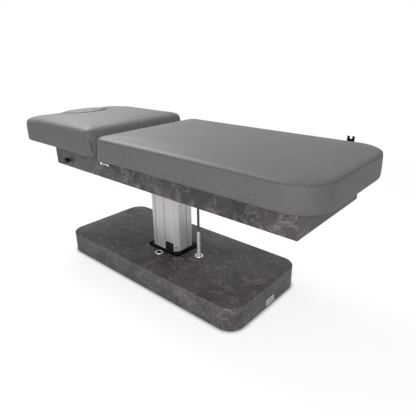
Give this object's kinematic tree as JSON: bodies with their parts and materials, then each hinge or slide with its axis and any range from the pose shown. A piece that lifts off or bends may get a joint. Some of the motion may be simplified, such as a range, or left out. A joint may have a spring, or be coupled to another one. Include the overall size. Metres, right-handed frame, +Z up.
{
  "type": "height-adjustable treatment couch",
  "caption": "Grey upholstered treatment couch with a tilting head cushion and face opening, on a laminated frame, a telescopic aluminium column and a rounded plinth.",
  "frame": {"origin": "on the floor, under the middle of the couch's length and width", "axes": "+X points to the foot end, +Y to the far long side with the hanger, +Z up"},
  "size_m": [1.964, 0.7202, 0.8373],
  "materials": {
    "slate_laminate": "satin laminate in clouded slate grey",
    "dark_laminate": "satin laminate in clouded dark grey",
    "column_aluminium": "satin anodised extrusion",
    "black_steel": "satin black powder coat",
    "grey_steel": "grey primer",
    "bright_chrome": "polished",
    "black_plastic": "fine grained black",
    "black_rubber": "matt black",
    "grey_cover": "grey coated upholstery cloth, fine grain",
    "bare_plywood": "bare birch plywood",
    "plate_metal": "bare satin plate"
  },
  "bodies": {
    "base": {"steel_base_plate": "black_steel", "plinth_side_near": "slate_laminate", "plinth_side_far": "slate_laminate", "plinth_end_head": "slate_laminate", "plinth_end_foot": "slate_laminate", "plinth_corner_head_near": "slate_laminate", "plinth_corner_head_far": "slate_laminate", "plinth_corner_foot_near": "slate_laminate", "plinth_corner_foot_far": "slate_laminate", "plinth_top": "dark_laminate", "column_anchor_box": "grey_steel", "column_foot_plate": "black_steel", "column_outer_stage": "column_aluminium", "column_lower_collar": "black_plastic", "column_cable_plug": "black_plastic", "cable_port": "bright_chrome", "conduit_port": "bright_chrome", "conduit_lower_tube": "bright_chrome", "label_plate": "plate_metal", "power_supply": "black_plastic", "mains_inlet": "black_plastic", "drive_tube": "grey_steel"},
    "middle_stage": {"column_middle_stage": "column_aluminium", "column_upper_collar": "black_plastic", "drive_sleeve": "grey_steel", "conduit_middle_tube": "bright_chrome"},
    "lift_frame": {"column_inner_stage": "column_aluminium", "column_head_plate": "black_steel", "drive_motor": "black_plastic", "drive_screw": "grey_steel", "conduit_upper_tube": "grey_steel", "frame_panel_near": "slate_laminate", "frame_panel_far": "slate_laminate", "frame_panel_head": "slate_laminate", "frame_panel_foot": "slate_laminate", "chassis_rail_near": "grey_steel", "chassis_rail_far": "grey_steel", "chassis_cross_column_head": "grey_steel", "chassis_cross_column_foot": "grey_steel", "chassis_cross_foot": "grey_steel", "chassis_cross_head": "grey_steel", "mattress_board": "bare_plywood", "main_mattress": "grey_cover", "head_pivot_shaft": "grey_steel", "forked_hanger": "black_steel"},
    "head_section": {"head_board": "bare_plywood", "head_cushion": "grey_cover", "head_arm_near": "black_steel", "head_arm_far": "black_steel", "head_arm_cross": "black_steel"},
    "face_plug": {"face_plug": "grey_cover"},
    "gas_spring_cylinder": {"gas_spring_tube": "black_steel"},
    "gas_spring_piston": {"gas_spring_rod": "bright_chrome"},
    "star_knob": {"star_knob": "black_plastic"},
    "release_lever": {"release_lever": "bright_chrome"},
    "foot_head_near": {"levelling_foot_head_near": "black_rubber"},
    "foot_head_far": {"levelling_foot_head_far": "black_rubber"},
    "foot_foot_near": {"levelling_foot_foot_near": "black_rubber"},
    "foot_foot_far": {"levelling_foot_foot_far": "black_rubber"}
  },
  "joints": [
    {"name": "lift", "type": "slide", "parent": "base", "child": "lift_frame", "axis": [0, 0, 1], "range_m": [0, 0.3]},
    {"name": "middle_stage_lift", "type": "slide", "parent": "base", "child": "middle_stage", "axis": [0, 0, 1], "range_m": [0, 0.15]},
    {"name": "head_raise", "type": "hinge", "parent": "lift_frame", "child": "head_section", "pos_m": [-0.227, 0, 0.671], "axis": [0, 1, 0], "range_deg": [0, 25]},
    {"name": "gas_spring_tilt", "type": "hinge", "parent": "lift_frame", "child": "gas_spring_cylinder", "pos_m": [-0.289, 0, 0.632], "axis": [0, 1, 0], "range_deg": [0, 30]},
    {"name": "gas_spring_extend", "type": "slide", "parent": "gas_spring_cylinder", "child": "gas_spring_piston", "axis": [-0.9994, 0, 0.0354], "range_m": [0, 0.025]},
    {"name": "face_plug_lift", "type": "slide", "parent": "head_section", "child": "face_plug", "axis": [0, 0, 1], "range_m": [0, 0.18]},
    {"name": "star_knob_turn", "type": "hinge", "parent": "lift_frame", "child": "star_knob", "pos_m": [-0.584, -0.29, 0.598], "axis": [0, 1, 0], "range_deg": [0, 360]},
    {"name": "release_lever_press", "type": "hinge", "parent": "lift_frame", "child": "release_lever", "pos_m": [-0.25, -0.28, 0.642], "axis": [0, 1, 0], "range_deg": [0, 25], "stiffness_Nm_per_rad": 0.5, "springref_deg": -11.46},
    {"name": "foot_head_near_turn", "type": "hinge", "parent": "base", "child": "foot_head_near", "pos_m": [-0.637, -0.244, 0], "axis": [0, 0, 1], "range_deg": [0, 360]},
    {"name": "foot_head_far_turn", "type": "hinge", "parent": "base", "child": "foot_head_far", "pos_m": [-0.637, 0.244, 0], "axis": [0, 0, 1], "range_deg": [0, 360]},
    {"name": "foot_foot_near_turn", "type": "hinge", "parent": "base", "child": "foot_foot_near", "pos_m": [0.575, -0.244, 0], "axis": [0, 0, 1], "range_deg": [0, 360]},
    {"name": "foot_foot_far_turn", "type": "hinge", "parent": "base", "child": "foot_foot_far", "pos_m": [0.575, 0.244, 0], "axis": [0, 0, 1], "range_deg": [0, 360]}
  ],
  "couplings": [
    {"joint": "middle_stage_lift", "follows": "lift", "ratio": 0.5},
    {"joint": "gas_spring_tilt", "follows": "head_raise", "ratio": 1.1988},
    {"joint": "gas_spring_extend", "follows": "head_raise", "m_per_rad": 0.055}
  ]
}
